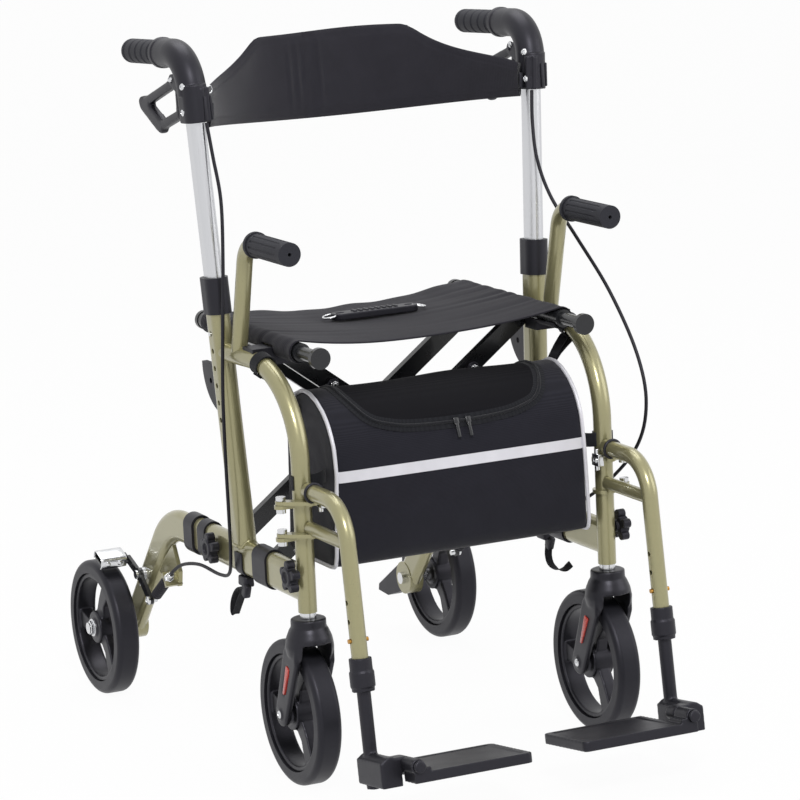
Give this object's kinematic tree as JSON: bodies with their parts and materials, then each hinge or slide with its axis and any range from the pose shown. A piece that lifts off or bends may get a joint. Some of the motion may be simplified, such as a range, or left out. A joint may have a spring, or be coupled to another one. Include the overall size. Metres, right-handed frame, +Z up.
{
  "type": "rollator transport chair",
  "caption": "Folding rollator transport chair with a champagne frame, black seat, curved backrest, storage bag, loop brakes and swing-away footrests",
  "frame": {"origin": "on the floor, in the middle of the chair's footprint", "axes": "+X to the seated person's left as seen from the front, -Y is the front, +Z is up"},
  "size_m": [0.6083, 1.0119, 0.9966],
  "materials": {
    "frame_paint": "satin",
    "silver_tube": "satin",
    "zinc": "polished",
    "dark_steel": "satin",
    "black_plastic": "matte",
    "wheel_plastic": "matte",
    "grip_rubber": "matte",
    "cable_black": "satin",
    "tyre": "matte",
    "seat_cloth": "woven",
    "back_cloth": "woven",
    "bag_cloth": "woven",
    "brass": "satin"
  },
  "bodies": {
    "left_frame": {"left_rail": "frame_paint", "left_upright": "frame_paint", "left_front_tube": "frame_paint", "left_rear_leg": "frame_paint", "left_arm_grip": "grip_rubber", "left_fittings": "black_plastic", "left_hardware": "zinc", "left_cable": "cable_black", "bag": "bag_cloth"},
    "right_frame": {"right_rail": "frame_paint", "right_upright": "frame_paint", "right_front_tube": "frame_paint", "right_rear_leg": "frame_paint", "right_arm_grip": "grip_rubber", "right_fittings": "black_plastic", "right_hardware": "zinc", "right_cable": "cable_black"},
    "brace_a": {"brace_a": "dark_steel", "right_seat_rail": "dark_steel"},
    "brace_b": {"brace_b": "dark_steel", "left_seat_rail": "dark_steel"},
    "seat": {"seat_sling": "seat_cloth"},
    "seat_handle": {"seat_handle": "black_plastic"},
    "left_rear_wheel": {"left_rear_tyre": "tyre", "left_rear_core": "wheel_plastic"},
    "left_brake": {"left_brake_arm": "dark_steel"},
    "left_caster": {"left_caster_fork": "wheel_plastic"},
    "left_front_wheel": {"left_front_tyre": "tyre", "left_front_core": "wheel_plastic"},
    "left_handle": {"left_handle_tube": "silver_tube", "left_handle_housing": "black_plastic", "left_handle_grip": "grip_rubber", "backrest": "back_cloth"},
    "left_lever": {"left_brake_lever": "black_plastic"},
    "left_height_catch": {"left_height_button": "zinc"},
    "left_hanger": {"left_hanger": "frame_paint", "left_foot_collar": "black_plastic"},
    "left_foot": {"left_foot_stem": "black_plastic", "left_foot_button": "brass"},
    "left_plate": {"left_footplate": "black_plastic"},
    "left_front_knob": {"left_front_knob": "black_plastic"},
    "left_rear_knob": {"left_rear_knob": "black_plastic"},
    "right_rear_wheel": {"right_rear_tyre": "tyre", "right_rear_core": "wheel_plastic"},
    "right_brake": {"right_brake_arm": "dark_steel"},
    "right_caster": {"right_caster_fork": "wheel_plastic"},
    "right_front_wheel": {"right_front_tyre": "tyre", "right_front_core": "wheel_plastic"},
    "right_handle": {"right_handle_tube": "silver_tube", "right_handle_housing": "black_plastic", "right_handle_grip": "grip_rubber"},
    "right_lever": {"right_brake_lever": "black_plastic"},
    "right_height_catch": {"right_height_button": "zinc"},
    "right_hanger": {"right_hanger": "frame_paint", "right_foot_collar": "black_plastic"},
    "right_foot": {"right_foot_stem": "black_plastic", "right_foot_button": "brass"},
    "right_plate": {"right_footplate": "black_plastic"},
    "right_front_knob": {"right_front_knob": "black_plastic"},
    "right_rear_knob": {"right_rear_knob": "black_plastic"}
  },
  "joints": [
    {"name": "fold", "type": "hinge", "parent": "left_frame", "child": "brace_a", "pos_m": [-0.204, 0, 0.284], "axis": [0, -1, 0], "range_deg": [0, 33], "deforming": ["seat_sling", "bag", "backrest"]},
    {"name": "brace_cross", "type": "hinge", "parent": "brace_a", "child": "brace_b", "pos_m": [0, 0, 0.43827], "axis": [0, -1, 0], "range_deg": [-66.2, 0], "deforming": ["seat_sling", "bag", "backrest"]},
    {"name": "right_frame_pivot", "type": "hinge", "parent": "brace_b", "child": "right_frame", "pos_m": [0.204, 0, 0.284], "axis": [0, -1, 0], "range_deg": [0, 33.1], "deforming": ["seat_sling", "bag", "backrest"]},
    {"name": "seat_level", "type": "hinge", "parent": "brace_b", "child": "seat", "pos_m": [-0.198, 0, 0.588], "axis": [0, -1, 0], "range_deg": [0, 33.1], "deforming": ["seat_sling"]},
    {"name": "seat_handle_shift", "type": "slide", "parent": "seat", "child": "seat_handle", "axis": [1, 0, 0], "range_m": [-0.114, 0], "deforming": ["seat_sling"]},
    {"name": "left_rear_roll", "type": "hinge", "parent": "left_frame", "child": "left_rear_wheel", "pos_m": [-0.278, 0.406, 0.1], "axis": [1, 0, 0], "continuous": true},
    {"name": "left_swivel", "type": "hinge", "parent": "left_frame", "child": "left_caster", "pos_m": [-0.228, -0.23, 0.26], "axis": [0, 0, 1], "continuous": true},
    {"name": "left_front_roll", "type": "hinge", "parent": "left_caster", "child": "left_front_wheel", "pos_m": [-0.228, -0.188, 0.1], "axis": [1, 0, 0], "continuous": true},
    {"name": "left_height", "type": "slide", "parent": "left_frame", "child": "left_handle", "axis": [-0.0471, 0.0454, 0.9979], "range_m": [-0.12, 0], "deforming": ["left_height_button", "right_height_button", "left_cable", "right_cable"]},
    {"name": "left_lever_pivot", "type": "hinge", "parent": "left_handle", "child": "left_lever", "pos_m": [-0.25892, 0.03985, 0.93973], "axis": [0.9989, 0, 0.0471], "range_deg": [0, 12], "stiffness_Nm_per_rad": 1.5, "deforming": ["left_cable"]},
    {"name": "left_brake_pivot", "type": "hinge", "parent": "left_frame", "child": "left_brake", "pos_m": [-0.2495, 0.324, 0.191], "axis": [-1, 0, 0], "range_deg": [0, 9.7], "deforming": ["left_cable"]},
    {"name": "left_catch_press", "type": "slide", "parent": "left_handle", "child": "left_height_catch", "axis": [0.9989, 0, 0.0471], "range_m": [0, 0.0035], "stiffness_N_per_m": 400},
    {"name": "left_hanger_swing", "type": "hinge", "parent": "left_frame", "child": "left_hanger", "pos_m": [-0.259, -0.23, 0.38], "axis": [0, 0, 1], "range_deg": [-90, 0]},
    {"name": "left_foot_height", "type": "slide", "parent": "left_hanger", "child": "left_foot", "axis": [0, 0.1392, 0.9903], "range_m": [0, 0.05], "deforming": ["left_foot_button"]},
    {"name": "left_plate_flip", "type": "hinge", "parent": "left_foot", "child": "left_plate", "pos_m": [-0.203, -0.48098, 0.0924], "axis": [0, -0.9903, 0.1392], "range_deg": [0, 90.5]},
    {"name": "left_front_knob_turn", "type": "hinge", "parent": "left_frame", "child": "left_front_knob", "pos_m": [-0.24, -0.23, 0.298], "axis": [1, 0, 0], "continuous": true},
    {"name": "left_rear_knob_turn", "type": "hinge", "parent": "left_frame", "child": "left_rear_knob", "pos_m": [-0.24, 0.044, 0.284], "axis": [1, 0, 0], "continuous": true},
    {"name": "right_rear_roll", "type": "hinge", "parent": "right_frame", "child": "right_rear_wheel", "pos_m": [0.278, 0.406, 0.1], "axis": [1, 0, 0], "continuous": true},
    {"name": "right_swivel", "type": "hinge", "parent": "right_frame", "child": "right_caster", "pos_m": [0.228, -0.23, 0.26], "axis": [0, 0, 1], "continuous": true},
    {"name": "right_front_roll", "type": "hinge", "parent": "right_caster", "child": "right_front_wheel", "pos_m": [0.228, -0.188, 0.1], "axis": [1, 0, 0], "continuous": true},
    {"name": "right_height", "type": "slide", "parent": "right_frame", "child": "right_handle", "axis": [0.0471, 0.0454, 0.9979], "range_m": [-0.12, 0], "deforming": ["left_height_button", "right_height_button", "left_cable", "right_cable"]},
    {"name": "right_lever_pivot", "type": "hinge", "parent": "right_handle", "child": "right_lever", "pos_m": [0.25892, 0.03985, 0.93973], "axis": [0.9989, 0, -0.0471], "range_deg": [0, 12], "stiffness_Nm_per_rad": 1.5, "deforming": ["right_cable"]},
    {"name": "right_brake_pivot", "type": "hinge", "parent": "right_frame", "child": "right_brake", "pos_m": [0.2495, 0.324, 0.191], "axis": [-1, 0, 0], "range_deg": [0, 9.7], "deforming": ["right_cable"]},
    {"name": "right_catch_press", "type": "slide", "parent": "right_handle", "child": "right_height_catch", "axis": [-0.9989, 0, 0.0471], "range_m": [0, 0.0035], "stiffness_N_per_m": 400},
    {"name": "right_hanger_swing", "type": "hinge", "parent": "right_frame", "child": "right_hanger", "pos_m": [0.259, -0.23, 0.38], "axis": [0, 0, 1], "range_deg": [0, 90]},
    {"name": "right_foot_height", "type": "slide", "parent": "right_hanger", "child": "right_foot", "axis": [0, 0.1392, 0.9903], "range_m": [0, 0.05], "deforming": ["right_foot_button"]},
    {"name": "right_plate_flip", "type": "hinge", "parent": "right_foot", "child": "right_plate", "pos_m": [0.203, -0.48098, 0.0924], "axis": [0, 0.9903, -0.1392], "range_deg": [0, 90.5]},
    {"name": "right_front_knob_turn", "type": "hinge", "parent": "right_frame", "child": "right_front_knob", "pos_m": [0.24, -0.23, 0.298], "axis": [1, 0, 0], "continuous": true},
    {"name": "right_rear_knob_turn", "type": "hinge", "parent": "right_frame", "child": "right_rear_knob", "pos_m": [0.24, 0.044, 0.284], "axis": [1, 0, 0], "continuous": true}
  ],
  "couplings": [
    {"joint": "brace_cross", "follows": "fold", "ratio": -2},
    {"joint": "right_frame_pivot", "follows": "fold", "ratio": 1},
    {"joint": "seat_level", "follows": "fold", "ratio": 1},
    {"joint": "seat_handle_shift", "follows": "fold", "m_per_rad": -0.1965},
    {"joint": "left_brake_pivot", "follows": "left_lever_pivot", "ratio": 0.8},
    {"joint": "left_plate_flip", "follows": "fold", "ratio": 2.72},
    {"joint": "right_brake_pivot", "follows": "right_lever_pivot", "ratio": 0.8},
    {"joint": "right_plate_flip", "follows": "fold", "ratio": 2.72},
    {"joint": "right_height", "follows": "left_height", "ratio": 1}
  ]
}
